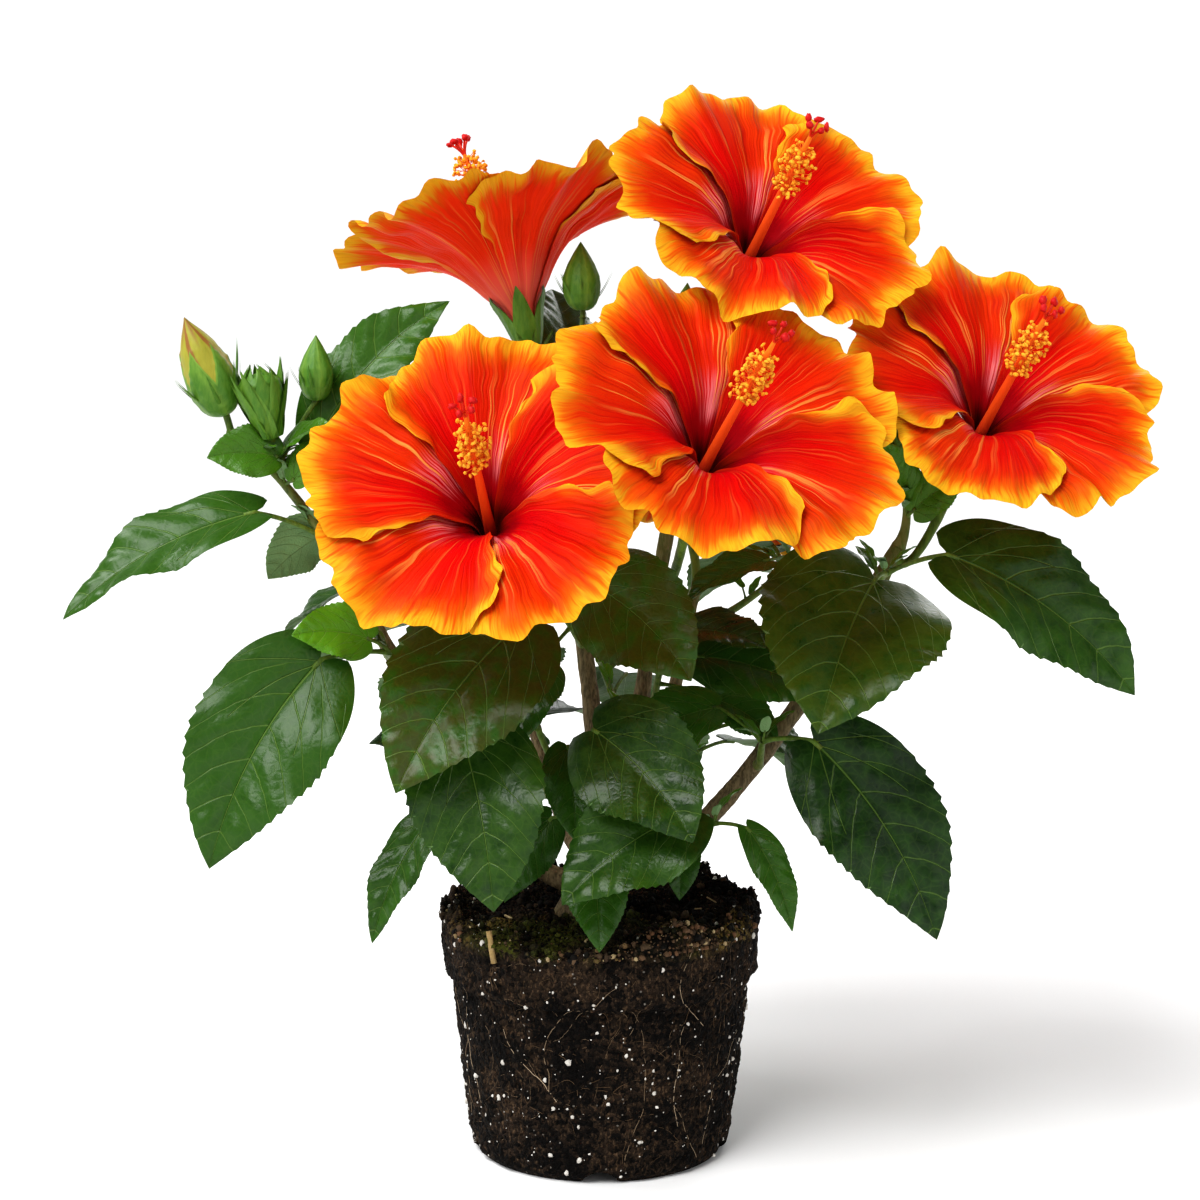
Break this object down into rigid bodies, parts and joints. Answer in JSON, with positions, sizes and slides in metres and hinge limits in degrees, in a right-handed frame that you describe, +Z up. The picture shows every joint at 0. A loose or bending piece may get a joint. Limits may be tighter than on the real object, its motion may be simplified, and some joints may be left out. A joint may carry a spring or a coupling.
{
  "type": "hibiscus shrub",
  "caption": "Young flowering hibiscus with large ruffled blooms, standing on its bare pot-shaped root ball.",
  "frame": {"origin": "centre of the root ball's flat underside", "axes": "+Z up along the plant, +Y away from the side that most blooms face, +X to that side's right"},
  "size_m": [0.4333, 0.2694, 0.4334],
  "materials": {
    "soil": "damp crumbly peat",
    "bark": "young matt bark",
    "foliage": "glossy leaf",
    "petals": "soft satin petal"
  },
  "bodies": {
    "root": {"root_ball": "soil", "main_stem": "bark", "bough_left": "bark", "bough_right": "bark", "bough_centre": "bark", "bough_back": "bark", "bough_rear_left": "bark", "bough_rear_right": "bark", "bloom_front_left": "petals", "bloom_front_right": "petals", "bloom_top": "petals", "bloom_right": "petals", "bloom_left_top": "petals", "bloom_rear_left": "petals", "bloom_rear_right": "petals", "shoot_left_tip": "foliage", "shoot_left_low": "foliage", "shoot_low_left": "foliage", "shoot_front_left": "foliage", "shoot_front_high": "foliage", "shoot_front_low": "foliage", "shoot_front_right": "foliage", "shoot_right_low": "foliage", "shoot_right_mid": "foliage", "shoot_right_high": "foliage", "shoot_right_tip": "foliage", "shoot_top_left": "foliage", "shoot_top_right": "foliage", "shoot_rear_top": "foliage", "shoot_rear_low_left": "foliage", "shoot_rear_left": "foliage", "shoot_rear_middle": "foliage", "shoot_rear_low_right": "foliage", "shoot_rear_right": "foliage"}
  },
  "joints": []
}
